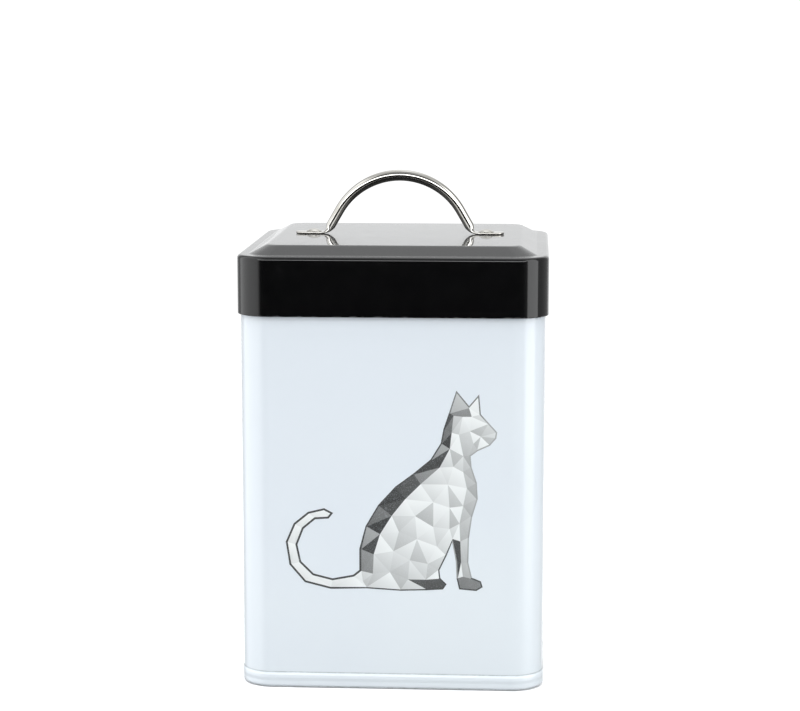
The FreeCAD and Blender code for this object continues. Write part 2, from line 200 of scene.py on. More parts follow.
def loft(name, rings, centre, mats, caps=None, bulge=None, inside_from=math.inf, sides=SIDES):
    """A surface through rounded-square rings (half width, z).

    centre is the corner centres' distance, or a function of the half width. caps holds two
    functions from scale to z, which close the first and last rings in steps towards the axis;
    without them the last ring joins the first. bulge moves points along their normals. Strips
    numbered inside_from and up take the second material.
    """
    centre_at = centre if callable(centre) else lambda half: centre
    verts, faces, face_mats, starts = [], [], [], []
    for i, (half, z) in enumerate(rings):
        starts.append(len(verts))
        for x, y, nx, ny, side, t in outline(half, centre_at(half), sides):
            out = bulge(i, x, z, side, t) if bulge else 0
            verts.append((x + nx * out, y + ny * out, z))
    count = len(verts) // len(rings)

    def cap(half, level):
        made = []
        for scale in CAP_SCALES:
            made.append(len(verts))
            for x, y, *_ in outline(half, centre_at(half), sides):
                verts.append((x * scale, y * scale, level(scale)))
        return made

    if caps:
        low, high = cap(rings[0][0], caps[0]), cap(rings[-1][0], caps[1])
        order = low[::-1] + starts + high
    else:
        order = starts + starts[:1]
    for i, (lower, upper) in enumerate(zip(order, order[1:])):
        for j in range(count):
            k = (j + 1) % count
            faces.append((lower + j, lower + k, upper + k, upper + j))
            face_mats.append(int(i >= inside_from))
    if caps:
        faces.append(tuple(low[-1] + j for j in range(count))[::-1])
        faces.append(tuple(high[-1] + j for j in range(count)))
        face_mats += [0, 0]
    return make(name, verts, faces, mats, face_mats)


def turned(name, profile, centre_x, segs, mat):
    """A form turned about a vertical axis at (centre_x, 0) from an (r, z) profile, which either
    has both ends on the axis or never meets it and is closed."""
    verts, faces, rings = [], [], []
    for radius, z in profile:
        if radius < 1e-6:
            rings.append([len(verts)])
            verts.append((centre_x, 0.0, z))
            continue
        rings.append(list(range(len(verts), len(verts) + segs)))
        for j in range(segs):
            angle = 2 * math.pi * j / segs
            verts.append((centre_x + radius * math.cos(angle), radius * math.sin(angle), z))
    if profile[0][0] >= 1e-6:
        rings.append(rings[0])
    for ring, after in zip(rings, rings[1:]):
        for j in range(segs):
            k = (j + 1) % segs
            if len(ring) == 1:
                faces.append((ring[0], after[j], after[k]))
            elif len(after) == 1:
                faces.append((ring[j], after[0], ring[k]))
            else:
                faces.append((ring[j], after[j], after[k], ring[k]))
    return make(name, verts, faces, [mat])


def smoothstep(value, low, high):
    value = max(0.0, min(1.0, (value - low) / (high - low)))
    return value * value * (3 - 2 * value)


# ---------------------------------------------------------------- material tools
class Shader:
    """Builds the node tree of a material or world. Any value may be a number or a socket."""

    def __init__(self, owner):
        owner.use_nodes = True
        self.tree = owner.node_tree
        self.tree.nodes.clear()

    def feed(self, socket, value):
        if isinstance(value, bpy.types.NodeSocket):
            self.tree.links.new(value, socket)
        else:
            socket.default_value = value

    def add(self, kind, props=None, **inputs):
        """A node with its inputs given by name (_ for a space) or by number, as i0, i1..."""
        node = self.tree.nodes.new("ShaderNode" + kind)
        for key, value in (props or {}).items():
            setattr(node, key, value)
        for key, value in inputs.items():
            numbered = key[0] == "i" and key[1:].isdigit()
            self.feed(node.inputs[int(key[1:]) if numbered else key.replace("_", " ")], value)
        return node

    def math(self, kind, first, second=0.0, clamp=False):
        props = {"operation": kind, "use_clamp": clamp}
        return self.add("Math", props, i0=first, i1=second).outputs[0]

    def times(self, value, by):
        return self.math("MULTIPLY", value, by)

    def plus(self, value, other):
        return self.math("ADD", value, other)

    def step(self, value, over, to=(0.0, 1.0)):
        """Smooth change between the two ends of `to` as value crosses the range `over`."""
        return self.add(
            "MapRange", {"interpolation_type": "SMOOTHSTEP"}, Value=value,
            From_Min=over[0], From_Max=over[1], To_Min=to[0], To_Max=to[1],
        ).outputs[0]

    def window(self, value, span, soft):
        """1 within the span and 0 outside it, with soft edges."""
        low, high = span
        rise = self.step(value, over=(low - soft, low + soft))
        return self.times(rise, self.step(value, over=(high - soft, high + soft), to=(1.0, 0.0)))

    def noise(self, vector, scale, detail=2.0, rough=0.5):
        return self.add(
            "TexNoise", Vector=vector, Scale=scale, Detail=detail, Roughness=rough).outputs[0]

    def stretched(self, vector, scale, **more):
        return self.add("Mapping", Vector=vector, Scale=scale, **more).outputs[0]

    def mix(self, factor, first, second):
        props = {"data_type": "RGBA", "blend_type": "MIX"}
        return self.add("Mix", props, i0=factor, i6=first, i7=second).outputs[2]

    def bump(self, height, distance, **normal):
        return self.add("Bump", Height=height, Distance=distance, Strength=1.0, **normal).outputs[0]

    def attribute(self, name, output):
        props = {"attribute_type": "GEOMETRY", "attribute_name": name}
        return self.add("Attribute", props).outputs[output]

    def ray(self, kind):
        return self.add("LightPath").outputs[f"Is {kind} Ray"]


def rgb(*levels):
    """Linear colour from sRGB levels of 0 to 255."""
    out = []
    for v in levels:
        v /= 255
        out.append(v / 12.92 if v <= 0.04045 else ((v + 0.055) / 1.055) ** 2.4)
    return (*out, 1.0)


def material(name):
    """A material, its shader, the inputs of its surface, and object coordinates."""
    mat = bpy.data.materials.new(name)
    shader = Shader(mat)
    surface = shader.add("BsdfPrincipled")
    shader.add("OutputMaterial", i0=surface.outputs[0])
    return mat, shader, surface.inputs, shader.add("TexCoord").outputs["Object"]


def scratches(shader, place):
    """Sparse hairline marks: thin bands of a stretched noise."""
    drawn = shader.stretched(place, scale=(1.0, 1.0, 0.035), Rotation=(0.5, 0.25, 0.1))
    value = shader.noise(drawn, scale=260.0, detail=1.0)
    near = shader.math("ABSOLUTE", shader.math("SUBTRACT", value, 0.5))
    line = shader.step(near, over=(0.0, 0.006), to=(1.0, 0.0))
    patch = shader.step(shader.noise(place, scale=22.0, detail=1.0), over=(0.56, 0.64))
    return shader.times(line, patch)


def enamel(shader, surface, place, colours, rough, coat_rough, peel=1.0, wave=1.0, mark=0.5):
    """Stoved enamel: a satin pigment layer under a gloss coat, with orange peel, a slow waviness,
    faint handling marks and a little dust. Returns its colour, to be linked by the caller."""
    cloud = shader.noise(place, scale=7.0, detail=3.0)
    colour = shader.mix(shader.step(cloud, over=(0.35, 0.7)), *colours)
    dust = shader.noise(place, scale=130.0, detail=4.0, rough=0.65)
    hair = scratches(shader, place)
    satin = shader.step(dust, over=(0.3, 0.8), to=(rough, rough + 0.12))
    shader.feed(surface["Roughness"], shader.plus(satin, shader.times(hair, by=0.2)))
    gloss = shader.step(dust, over=(0.45, 0.85), to=(coat_rough, coat_rough + 0.06))
    shader.feed(surface["Coat Roughness"], shader.plus(gloss, shader.times(hair, by=mark * 0.3)))
    shader.feed(surface["Coat Weight"], 1.0)
    shader.feed(surface["Coat IOR"], 1.5)
    slow = shader.bump(shader.noise(place, scale=13.0, detail=1.0), distance=0.00022 * wave)
    grain = shader.noise(place, scale=520.0, detail=2.0, rough=0.55)
    fine = shader.bump(grain, distance=0.000006 * peel, Normal=slow)
    shader.feed(surface["Normal"], fine)
    shader.feed(surface["Coat Normal"], fine)
    return colour


# ---------------------------------------------------------------- materials
WHITES = rgb(229, 236, 243), rgb(233, 240, 245)
# painted shade: grey lines round the body in its creases, under the collar's lower edge and where
# the body meets the base rim: level, width and depth of tone
PAINTED_SHADE_LINES = (
    (CREASE, 0.9, 0.75), (CREASE + 1.9, 0.5, 0.35), (BAND, 0.7, 0.6), (RIM_TOP + 0.1, 0.7, 0.6),
)


def white_enamel(name):
    mat, shader, surface, place = material(name)
    base = enamel(shader, surface, place, WHITES, rough=0.32, coat_rough=0.035)
    x, y, z = shader.add("SeparateXYZ", Vector=place).outputs
    # dirt and painted shade along both edges of the rear lock seam, in its creases
    from_middle = shader.math("ABSOLUTE", x)
    lines = shader.window(from_middle, span=(0.0028, 0.0032), soft=0.00018)
    height = shader.window(z, span=(SEAM_LOW * MM, SEAM_HIGH * MM), soft=0.0004)
    lines = shader.times(lines, height)
    lines = shader.times(shader.times(lines, shader.step(y, over=(0.080, 0.083))), by=0.6)
    # painted shade: grey lines in the neck's creases, under the collar's lower edge and at the top
    # of the base rim, broken by the grain
    for level, width, depth in PAINTED_SHADE_LINES:
        span = ((level - width / 2) * MM, (level + width / 2) * MM)
        line = shader.times(shader.window(z, span=span, soft=0.0003), depth)
        lines = shader.math("MAXIMUM", lines, line)
    grain = shader.noise(place, scale=300.0, detail=3.0)
    grain = shader.step(grain, over=(0.25, 0.75), to=(0.55, 1.0))
    # painted shade: the recessed neck band between the crease and the collar, tinted greyer and
    # greener where it lies in shade
    neck = shader.window(z, span=(CREASE * MM, BAND * MM), soft=0.0006)
    neck_shaded_base = shader.mix(shader.times(neck, by=0.55), base, rgb(222, 232, 231))
    # patchy grey on the lowest edge
    foot = shader.step(z, over=(0.00015, 0.0012), to=(1.0, 0.0))
    patches = shader.noise(place, scale=190.0, detail=4.0, rough=0.7)
    foot = shader.times(foot, shader.step(patches, over=(0.45, 0.62), to=(0.1, 0.75)))
    # worn grey on the lowest edge, together with the painted shade lines and the seam's dirt and
    # painted shade
    wear_and_painted_shade = shader.math("MAXIMUM", foot, shader.times(lines, grain))
    shader.feed(surface["Base Color"], shader.mix(wear_and_painted_shade, neck_shaded_base, rgb(140, 149, 152)))
    return mat


def tin_inside(name):
    """Lacquered tinplate: pale, slightly blue, with soft rolling lines and a crystal mottle."""
    mat, shader, surface, place = material(name)
    shader.feed(surface["Metallic"], 0.15)
    crystal = shader.add(
        "TexVoronoi", {"feature": "SMOOTH_F1"}, Vector=place, Scale=85.0, Randomness=1.0,
        Smoothness=0.6,
    ).outputs["Color"]
    tone = shader.add("SeparateColor", Color=crystal).outputs[0]
    pale = shader.mix(tone, rgb(236, 242, 247), rgb(243, 247, 250))
    # painted shade: a dark blue-grey band just under the turned-down lip, where its shadow falls,
    # broken into patches
    z = shader.add("SeparateXYZ", Vector=place).outputs[2]
    under_lip_shade = shader.step(z, over=((TOP - 11.6) * MM, (TOP - 6.6) * MM))
    patches = shader.noise(place, scale=60.0, detail=3.0)
    under_lip_shade = shader.times(under_lip_shade, shader.step(patches, over=(0.25, 0.75), to=(0.71, 0.88)))
    shader.feed(surface["Base Color"], shader.mix(under_lip_shade, pale, rgb(74, 90, 106)))
    rolled = shader.stretched(place, scale=(1.0, 1.0, 0.05))
    lines = shader.noise(rolled, scale=420.0, detail=3.0, rough=0.6)
    rough = shader.step(lines, over=(0.2, 0.8), to=(0.30, 0.38))
    shader.feed(surface["Roughness"], shader.plus(rough, shader.times(tone, by=0.05)))
    slow = shader.bump(shader.noise(place, scale=12.0, detail=1.0), distance=0.0002)
    shader.feed(surface["Normal"], shader.bump(lines, distance=0.000004, Normal=slow))
    return mat


def black_enamel(name):
    mat, shader, surface, place = material(name)
    base = enamel(
        shader, surface, place, (rgb(4, 4, 5), rgb(7, 7, 8)), rough=0.3, coat_rough=0.02,
        peel=1.1, wave=0.9, mark=0.6,
    )
    shader.feed(surface["Specular IOR Level"], 0.08)
    # bright rub marks on the lowest edge
    z = shader.add("SeparateXYZ", Vector=place).outputs[2]
    foot = shader.step(z, over=((LID_LOW + 0.25) * MM, (LID_LOW + 0.75) * MM), to=(1.0, 0.0))
    patches = shader.noise(place, scale=240.0, detail=4.0, rough=0.7)
    rub = shader.times(foot, shader.step(patches, over=(0.52, 0.62)))
    colour = shader.mix(shader.times(rub, by=0.8), base, rgb(120, 122, 124))
    shader.feed(surface["Base Color"], colour)
    return mat


def bright_steel(name, along=None):
    """Polished, plated steel with fine lines, drawn out along the named attribute if given."""
    mat, shader, surface, place = material(name)
    shader.feed(surface["Metallic"], 1.0)
    if along:
        drawn = shader.stretched(shader.attribute(along, "Vector"), scale=(0.05, 1.0, 1.0))
        lines = shader.noise(drawn, scale=900.0, detail=3.0, rough=0.6)
    else:
        lines = shader.noise(place, scale=1500.0, detail=2.0, rough=0.6)
    stain = shader.noise(place, scale=55.0, detail=3.0)
    stained = shader.step(stain, over=(0.4, 0.75))
    colour = shader.mix(stained, rgb(204, 202, 197), rgb(188, 185, 178))
    shader.feed(surface["Base Color"], colour)
    rough = shader.step(lines, over=(0.3, 0.75), to=(0.05, 0.13))
    dull = shader.step(stain, over=(0.5, 0.8), to=(0.0, 0.07))
    shader.feed(surface["Roughness"], shader.plus(rough, dull))
    slow = shader.bump(shader.noise(place, scale=90.0, detail=1.0), distance=0.000015)
    shader.feed(surface["Normal"], shader.bump(lines, distance=0.0000012, Normal=slow))
    return mat


def zinc_steel(name):
    mat, shader, surface, place = material(name)
    shader.feed(surface["Metallic"], 1.0)
    grain = shader.noise(place, scale=700.0, detail=4.0, rough=0.7)
    cloud = shader.step(shader.noise(place, scale=160.0, detail=3.0), over=(0.35, 0.7))
    shader.feed(surface["Base Color"], shader.mix(cloud, rgb(176, 180, 184), rgb(204, 207, 210)))
    shader.feed(surface["Roughness"], shader.step(grain, over=(0.3, 0.7), to=(0.28, 0.5)))
    shader.feed(surface["Normal"], shader.bump(grain, distance=0.00002))
    return mat


def printed_ink(name):
    """Ink on the enamel: tone from each facet, broken by fine specks and blots."""
    mat, shader, surface, place = material(name)
    base = enamel(shader, surface, place, WHITES, rough=0.36, coat_rough=0.05)
    tone = shader.attribute("ink", "Color")
    dots = shader.noise(place, scale=2600.0, detail=2.0, rough=0.7)
    blot = shader.noise(place, scale=420.0, detail=3.0, rough=0.6)
    specks = shader.times(shader.step(dots, over=(0.55, 0.7)), by=0.3)
    blots = shader.times(shader.step(blot, over=(0.62, 0.75)), by=0.12)
    bare = shader.math("ADD", specks, blots, clamp=True)
    shader.feed(surface["Base Color"], shader.mix(bare, tone, base))
    return mat


M_WHITE = white_enamel("white_enamel")
M_INSIDE = tin_inside("tinplate_inside")
M_BLACK = black_enamel("black_enamel")
M_WIRE = bright_steel("bright_steel_wire", "along")
M_RIVET = bright_steel("bright_steel_rivet")
M_ZINC = zinc_steel("plain_steel")
M_INK = printed_ink("printed_ink")

# ---------------------------------------------------------------- body sleeve
SEAM_HALF, SEAM_FALL, SEAM_RISE = 2.6, 0.5, 0.33   # flat half width, shoulder width, height
# distances from the middle of the back at which the seam needs points
SEAM_XS = (0.5, 1.6, 2.3, 2.6, 2.85, 3.05, 3.3, 3.7)


def sheet_wave(side, t, z):
    """How far a flat wall stands out of true: a slight crown and two slow ripples."""
    if t is None:
        return 0.0
    low, high = RIM_TOP + 6, CREASE - 6
    if not low < z < high:
        return 0.0
    v = (z - low) / (high - low) * 2 - 1
    hold = (1 - t * t) * (1 - v * v)
    ripple = math.sin(2.3 * t + 1.7 * side + 0.4) * math.cos(2.1 * v + 0.9 * side)
    return hold * (0.14 + 0.06 * ripple)


def seam_bulge(x, z):
    across = 1 - max(0.0, min(1.0, (abs(x) - SEAM_HALF) / SEAM_FALL))
    across = across * across * (3 - 2 * across)
    low_end = max(0.0, min(1.0, (z - SEAM_LOW) / SEAM_FALL))
    high_end = max(0.0, min(1.0, (SEAM_HIGH - z) / SEAM_FALL))
    return SEAM_RISE * across * (low_end * high_end)


def with_levels(line, levels):
    """The line with a point added wherever an upright segment crosses one of the levels."""
    out = []
    for (x0, z0), (x1, z1) in zip(line, line[1:]):
        out.append((x0, z0))
        for z in levels:
            if abs(x1 - x0) < 1e-6 and min(z0, z1) + 1e-3 < z < max(z0, z1) - 1e-3:
                out.append((x0, z))
    return out + [line[-1]]


# profiles here and below: half width, z, corner radius
shell_outer = rounded([
    (BODY - SHEET, shell_lo[2], 0), (BODY, shell_lo[2], 0.15), (BODY, CREASE - 5.2, 5.0),
    (BODY + 0.33, CREASE - 2.5, 1.8), (BODY - 0.22, CREASE - 0.5, 0.9),
    (NECK - 0.5, CREASE + 0.0, 0.22), (NECK - 0.05, CREASE + 0.7, 0.5),
    (NECK - 0.05, CREASE + 1.6, 0.3), (NECK - 0.33, CREASE + 2.05, 0.22),
    (NECK - 0.05, CREASE + 2.5, 0.35), (NECK - 0.05, shell_hi[2], 0.15),
    (NECK - SHEET - 0.05, shell_hi[2], 0),
], step=12)
shell_inner = rounded([
    (NECK - SHEET - 0.05, shell_hi[2], 0), (NECK - SHEET - 0.05, CREASE + 1.2, 0.8),
    (NECK - SHEET - 0.6, CREASE, 0.6), (BODY - SHEET, CREASE - 2.0, 1.5),
    (BODY - SHEET, shell_lo[2], 0),
], step=15)
seam_levels = (SEAM_LOW, SEAM_LOW + SEAM_FALL, SEAM_HIGH - SEAM_FALL, SEAM_HIGH)
outer_rings = with_levels(densify(shell_outer, 8.0), seam_levels)


def shell_bulge(i, x, z, side, t):
    on_seam = i < len(outer_rings) and side == 1 and t is not None
    return sheet_wave(side, t, z) + (seam_bulge(x, z) if on_seam else 0.0)


seam_stations = [round(sign * x / BODY_CENTRE, 5) for sign in (-1, 1) for x in SEAM_XS]
body = loft(
    "body_shell_enamelled", outer_rings + densify(shell_inner, 12.0)[1:-1], BODY_CENTRE,
    [M_WHITE, M_INSIDE], bulge=shell_bulge, inside_from=len(outer_rings) - 1,
    sides=[SIDES[0], side_stations(seam_stations), SIDES[2], SIDES[3]],
)
fit(body, "bin", "body_shell")

# ---------------------------------------------------------------- collar
MOUTH = COLLAR - 5.2           # half width of the opening
collar_line = rounded([
    (COLLAR - 0.8, BAND, 0.3), (COLLAR, BAND, 0.42), (COLLAR, TOP, 3.1), (MOUTH, TOP, 1.5),
    (MOUTH, TOP - 4.3, 0.22), (MOUTH + SHEET, TOP - 4.3, 0.2), (MOUTH + SHEET, TOP - SHEET, 0.8),
    (COLLAR - SHEET, TOP - SHEET, 2.2), (COLLAR - SHEET, BAND + 2.6, 0.3),
    (COLLAR - 0.8, BAND + 2.2, 0.3),
], closed=True)
collar = loft(
    "top_collar_enamelled", densify(collar_line, 6.0, closed=True), BODY_CENTRE, [M_WHITE])
fit(collar, "bin", "top_collar")

# ---------------------------------------------------------------- base
FLOOR_HALF = RIM - 5.5         # floor inside the standing rim
UNDER = 5.0                    # underside of the floor
STEP_UNDER = UNDER + 0.9       # and of the shallow step pressed into it
FLOOR_CROWN = 0.25
base_line = rounded([
    (FLOOR_HALF - 8.0, STEP_UNDER, 0), (FLOOR_HALF - 7.0, STEP_UNDER, 0.7),
    (FLOOR_HALF - 5.6, UNDER, 0.7), (FLOOR_HALF, UNDER, 0.9),
    (FLOOR_HALF, 0.0, 0.7), (RIM - 0.1, 0.0, 3.0), (RIM - 0.2, 3.8, 3.0), (RIM, 5.6, 1.8),
    (RIM - 0.06, 7.1, 2.0), (RIM - 0.44, RIM_TOP, 0.06),
    (RIM - SHEET, RIM_TOP, 0.1), (RIM - SHEET, 1.6, 1.2), (RIM - 2.6, SHEET, 1.6),
    (FLOOR_HALF + SHEET, SHEET, 0.3), (FLOOR_HALF + SHEET, UNDER + SHEET, 0.9),
    (FLOOR_HALF - 5.5, UNDER + SHEET, 0.7), (FLOOR_HALF - 7.1, STEP_UNDER + SHEET, 0.7),
    (FLOOR_HALF - 8.0, STEP_UNDER + SHEET, 0),
], step=11)
base_plate = loft(
    "base_plate_enamelled", densify(base_line, 6.0), BASE_CENTRE, [M_WHITE, M_INSIDE],
    caps=(lambda scale: STEP_UNDER + FLOOR_CROWN * (1 - scale * scale),
          lambda scale: STEP_UNDER + SHEET + FLOOR_CROWN * (1 - scale * scale)),
)
fit(base_plate, "bin", "base_plate")

# ---------------------------------------------------------------- lid
SLOPE_FOOT, SLOPE_TOP = LID - 6.6, LID - 16.2   # half widths where the slope starts and ends
LID_CROWN = 0.12
PANEL_R = 8.0                  # corner radius of the raised panel


def lid_centre(half):
    """Corner centres of the lid's rings: concentric on the skirt and ledge, drawn in on the
    slope, so that the raised panel keeps a soft pressed corner."""
    rise = max(0.0, min(1.0, (half - SLOPE_TOP) / (SLOPE_FOOT - SLOPE_TOP)))
    radius = PANEL_R + (SLOPE_FOOT - LID_CENTRE - PANEL_R) * rise
    return LID_CENTRE if half >= SLOPE_FOOT else half - radius


lid_line = rounded([
    (SLOPE_TOP - 2.6, PANEL - SHEET - LID_CROWN, 0), (SLOPE_TOP, PANEL - SHEET - LID_CROWN, 7.6),
    (SLOPE_FOOT - 0.1, LEDGE - SHEET, 3.2), (LID - SHEET, LEDGE - SHEET, 1.7),
    (LID - SHEET, LID_LOW + 3.3, 0.25), (LID - 0.93, LID_LOW + 3.1, 0.15),
    (LID - 0.95, LID_LOW, 0.42), (LID, LID_LOW, 0.42), (LID, LEDGE, 2.2),
    (SLOPE_FOOT, LEDGE, 2.8), (SLOPE_TOP, PANEL - LID_CROWN, 8.0),
    (SLOPE_TOP - 2.6, PANEL - LID_CROWN, 0),
], step=8)
lid = loft(
    "lid_cap_enamelled", densify(lid_line, 2.0), lid_centre, [M_BLACK],
    caps=(lambda scale: PANEL - SHEET - LID_CROWN * scale * scale,
          lambda scale: PANEL - LID_CROWN * scale * scale),
)
fit(lid, "lid", "lid_cap")

# ---------------------------------------------------------------- handle
FOOT_T, FOOT_W = 1.2, grip_hi[1] - grip_lo[1]   # flattened foot
FOOT_END = grip_hi[0]
TIP_R = FOOT_W / 2
WIRE, WIRE_ROOT = 6.4, 5.5     # diameter at the apex and near the foot
RISE = grip_hi[2] - PANEL - WIRE / 2
ARCH_R, BEND_R = 40.5, 4.6
SLOPE = math.radians(60)
ARCH_STEPS, LEG_STEPS, BEND_STEPS, FOOT_STEPS = 40, 15, 14, 26
N_WIRE = 40                    # points round the wire


def handle_path():
    """Centre line from the apex out to the right foot's tip: x, height over panel, heading."""
    path = []
    for j in range(ARCH_STEPS + 1):
        angle = SLOPE * j / ARCH_STEPS
        path.append((ARCH_R * math.sin(angle), RISE - ARCH_R * (1 - math.cos(angle)), -angle))
    arch_x, arch_z, _ = path[-1]
    bend_z = FOOT_T / 2 + BEND_R * (1 - math.cos(SLOPE))
    bend_x = arch_x + (arch_z - bend_z) / math.tan(SLOPE)
    foot_x = bend_x + BEND_R * math.sin(SLOPE)
    for j in range(1, LEG_STEPS):
        part = j / LEG_STEPS
        path.append((arch_x + (bend_x - arch_x) * part, arch_z + (bend_z - arch_z) * part, -SLOPE))
    for j in range(BEND_STEPS + 1):
        angle = SLOPE * (1 - j / BEND_STEPS)
        path.append((foot_x - BEND_R * math.sin(angle),
                     FOOT_T / 2 + BEND_R * (1 - math.cos(angle)), -angle))
    for j in range(1, FOOT_STEPS + 1):
        part = 1 - (1 - j / FOOT_STEPS) ** 1.6
        path.append((foot_x + (FOOT_END - 0.03 - foot_x) * part, FOOT_T / 2, 0.0))
    return path


def handle_sections():
    """x, height, heading, width, thickness, squareness and distance from the apex."""
    path = handle_path()
    length = [0.0]
    for (x0, z0, _), (x1, z1, _) in zip(path, path[1:]):
        length.append(length[-1] + math.hypot(x1 - x0, z1 - z0))
    root = length[ARCH_STEPS + LEG_STEPS + BEND_STEPS // 2]    # middle of the bend
    sections = []
    for (x, z, heading), run in zip(path, length):
        thin = WIRE + (WIRE_ROOT - WIRE) * smoothstep(run, 8.0, root - 6.0)
        flat = smoothstep(run, root - 3.4, root + 5.0)
        thick = thin + (FOOT_T - thin) * smoothstep(run, root - 4.8, root + 1.8)
        wide = thin + (FOOT_W - thin) * flat
        tip = length[-1] - run
        if tip < TIP_R:
            wide = min(wide, 2 * math.sqrt(max(TIP_R**2 - (TIP_R - tip) ** 2, 0.05)))
        if tip < 0.5:
            thick *= 0.75 + 0.5 * tip
        sections.append((x, z, heading, wide, thick, 2.0 + 3.5 * flat, run))
    mirrored = [(-x, z, -heading, *size, -run) for x, z, heading, *size, run in sections[:0:-1]]
    return mirrored + sections


def build_handle():
    sections = handle_sections()
    verts, faces, along = [], [], []
    for x, z, heading, wide, thick, power, run in sections:
        for j in range(N_WIRE):
            angle = 2 * math.pi * j / N_WIRE
            cos, sin = math.cos(angle), math.sin(angle)
            across = wide / 2 * math.copysign(abs(cos) ** (2 / power), cos)
            up = thick / 2 * math.copysign(abs(sin) ** (2 / power), sin)
            verts.append((x - math.sin(heading) * up, across, PANEL + z + math.cos(heading) * up))
            along += [run * MM, j / N_WIRE * 0.016, 0.0]
    last = (len(sections) - 1) * N_WIRE
    for i in range(0, last, N_WIRE):
        for j in range(N_WIRE):
            k = (j + 1) % N_WIRE
            faces.append((i + j, i + k, i + N_WIRE + k, i + N_WIRE + j))
    faces.append(tuple(range(N_WIRE))[::-1])
    faces.append(tuple(last + j for j in range(N_WIRE)))
    handle = make("lid_handle_bow", verts, faces, [M_WIRE])
    layer = handle.data.attributes.new("along", "FLOAT_VECTOR", "POINT")
    layer.data.foreach_set("vector", along)
    return handle


fit(build_handle(), "lid", "lid_handle")

# ---------------------------------------------------------------- rivets and washers
HEAD_R, HEAD_STEPS = 4.5, 14
RIVET_X = rivet_hi[0] - HEAD_R
HEAD_TOP, TAIL = rivet_hi[2], rivet_lo[2]
FOOT_TOP = PANEL + FOOT_T
WASHER_LOW, WASHER_TOP = washer_lo[2], washer_hi[2]
dome = HEAD_TOP - FOOT_TOP
ball = (HEAD_R**2 + dome**2) / (2 * dome)      # radius of the domed head
# profiles: radius, z
rivet_line = [(0.0, HEAD_TOP)]
for j in range(1, HEAD_STEPS + 1):
    angle = math.asin((HEAD_R - 0.25) / ball) * j / HEAD_STEPS
    rivet_line.append((ball * math.sin(angle), HEAD_TOP - ball * (1 - math.cos(angle))))
rivet_line += [
    (HEAD_R - 0.08, FOOT_TOP + 0.26), (HEAD_R, FOOT_TOP + 0.12), (HEAD_R - 0.06, FOOT_TOP + 0.02),
    (HEAD_R - 0.3, FOOT_TOP + 0.01), (2.1, FOOT_TOP + 0.01), (2.0, FOOT_TOP - 0.1),
    (2.0, WASHER_LOW + 0.02), (2.15, WASHER_LOW - 0.02), (2.9, WASHER_LOW - 0.02),
    (3.1, WASHER_LOW - 0.15), (3.2, WASHER_LOW - 0.45), (3.0, TAIL + 0.15), (2.6, TAIL),
    (1.2, TAIL), (0.7, TAIL + 0.25), (0.0, TAIL + 0.3),
]
washer_line = [
    (2.1, WASHER_TOP), (6.42, WASHER_TOP), (6.5, WASHER_TOP - 0.1), (6.5, WASHER_LOW + 0.2),
    (6.42, WASHER_LOW + 0.06), (6.25, WASHER_LOW), (2.3, WASHER_LOW), (2.12, WASHER_LOW + 0.12),
]
for label, x in (("left", -RIVET_X), ("right", RIVET_X)):
    rivet = turned("handle_rivet_" + label, rivet_line, x, 72, M_RIVET)
    fit(rivet, "lid", "handle_rivets")
    washer = turned("rivet_washer_" + label, washer_line, x, 56, M_ZINC)
    fit(washer, "lid", "rivet_washers")

# ---------------------------------------------------------------- printed picture
# A faceted sitting cat, tail to the left. Points are (x, z) from the print's origin.
PRINT_X, PRINT_Z = 1.5, 57.0
CONTOUR = 0.72                 # width of the drawn contour
INK_TOP, INK_UNDER = 0.045, 0.008   # lift of the ink's two faces off the wall
CAT = [
    (46, 0), (49.5, 2.2), (48.5, 5.5), (43.5, 7.5), (41.5, 16), (41.8, 30), (43.5, 42),
    (46.5, 52), (46, 61), (43, 70), (42.5, 76), (46.5, 79), (53, 82), (56.5, 86), (57, 89.5),
    (52.5, 94.5), (48, 99.5), (47, 110.5), (41.5, 104), (34.5, 112.5), (30.5, 100), (27.5, 91),
    (26, 83), (20.5, 74), (11, 66), (1, 58.5), (-8.5, 48), (-15.5, 36), (-19, 23), (-19, 11),
    (-22.5, 8.2), (-34, 6), (-44.5, 8.6), (-51.5, 15.5), (-53.5, 25), (-50, 34), (-43.5, 39.5),
    (-36, 40), (-33.5, 43.2), (-38.5, 45.8), (-47.5, 43.6), (-55.5, 37), (-60, 26.5),
    (-58, 13.5), (-49.5, 3.6), (-35, 0), (-15, 0.6), (4, -0.5), (18, 0), (27.5, 0.6),
    (29.5, 3.6), (26, 7), (25.5, 11.5), (29.5, 20), (32.5, 27.5), (34.5, 17), (35, 7), (36.5, 0.8),
]
# inner edges of the dark back and of the mid-toned chest
BACK_IN = [
    (33, 98.5), (32, 89), (31, 80), (25.5, 69.5), (15, 60), (6.5, 51.5), (-1, 42), (-7.5, 31.5),
    (-11, 20), (-11.5, 9), (-17, 4.6),
]
CHEST_IN = [
    (44, 83), (38.5, 76), (38.5, 67), (40.5, 58), (38.5, 48), (36.5, 38), (37, 28), (37.5, 16),
    (38.5, 8),
]
BACK_POLY = CAT[20:30] + BACK_IN[::-1][1:]
CHEST_POLY = CAT[3:12] + CHEST_IN
# loose facet corners within the head and body
LOOSE = [
    (36, 88), (42, 90), (48, 87), (38, 98), (43, 98), (33, 70), (30, 60), (22, 50), (31, 47),
    (12, 42), (22, 36), (31, 35), (3, 33), (13, 29), (24, 25), (0, 22), (9, 17), (19, 15),
    (-2, 10), (8, 6), (18, 6),
]
# facet tones, 0 black to 1 white
DARK = [0.25, 0.33, 0.56, 0.28, 0.64, 0.24, 0.46, 0.31]
LIGHT = [0.94, 0.85, 0.98, 0.79, 0.91, 0.83, 0.97, 0.87, 0.76]
MIDDLE = [0.74, 0.80, 0.70, 0.77]


def within(x, z, poly):
    inside = False
    for (x0, z0), (x1, z1) in zip(poly, poly[1:] + poly[:1]):
        if (z0 > z) != (z1 > z) and x < (x1 - x0) * (z - z0) / (z1 - z0) + x0:
            inside = not inside
    return inside


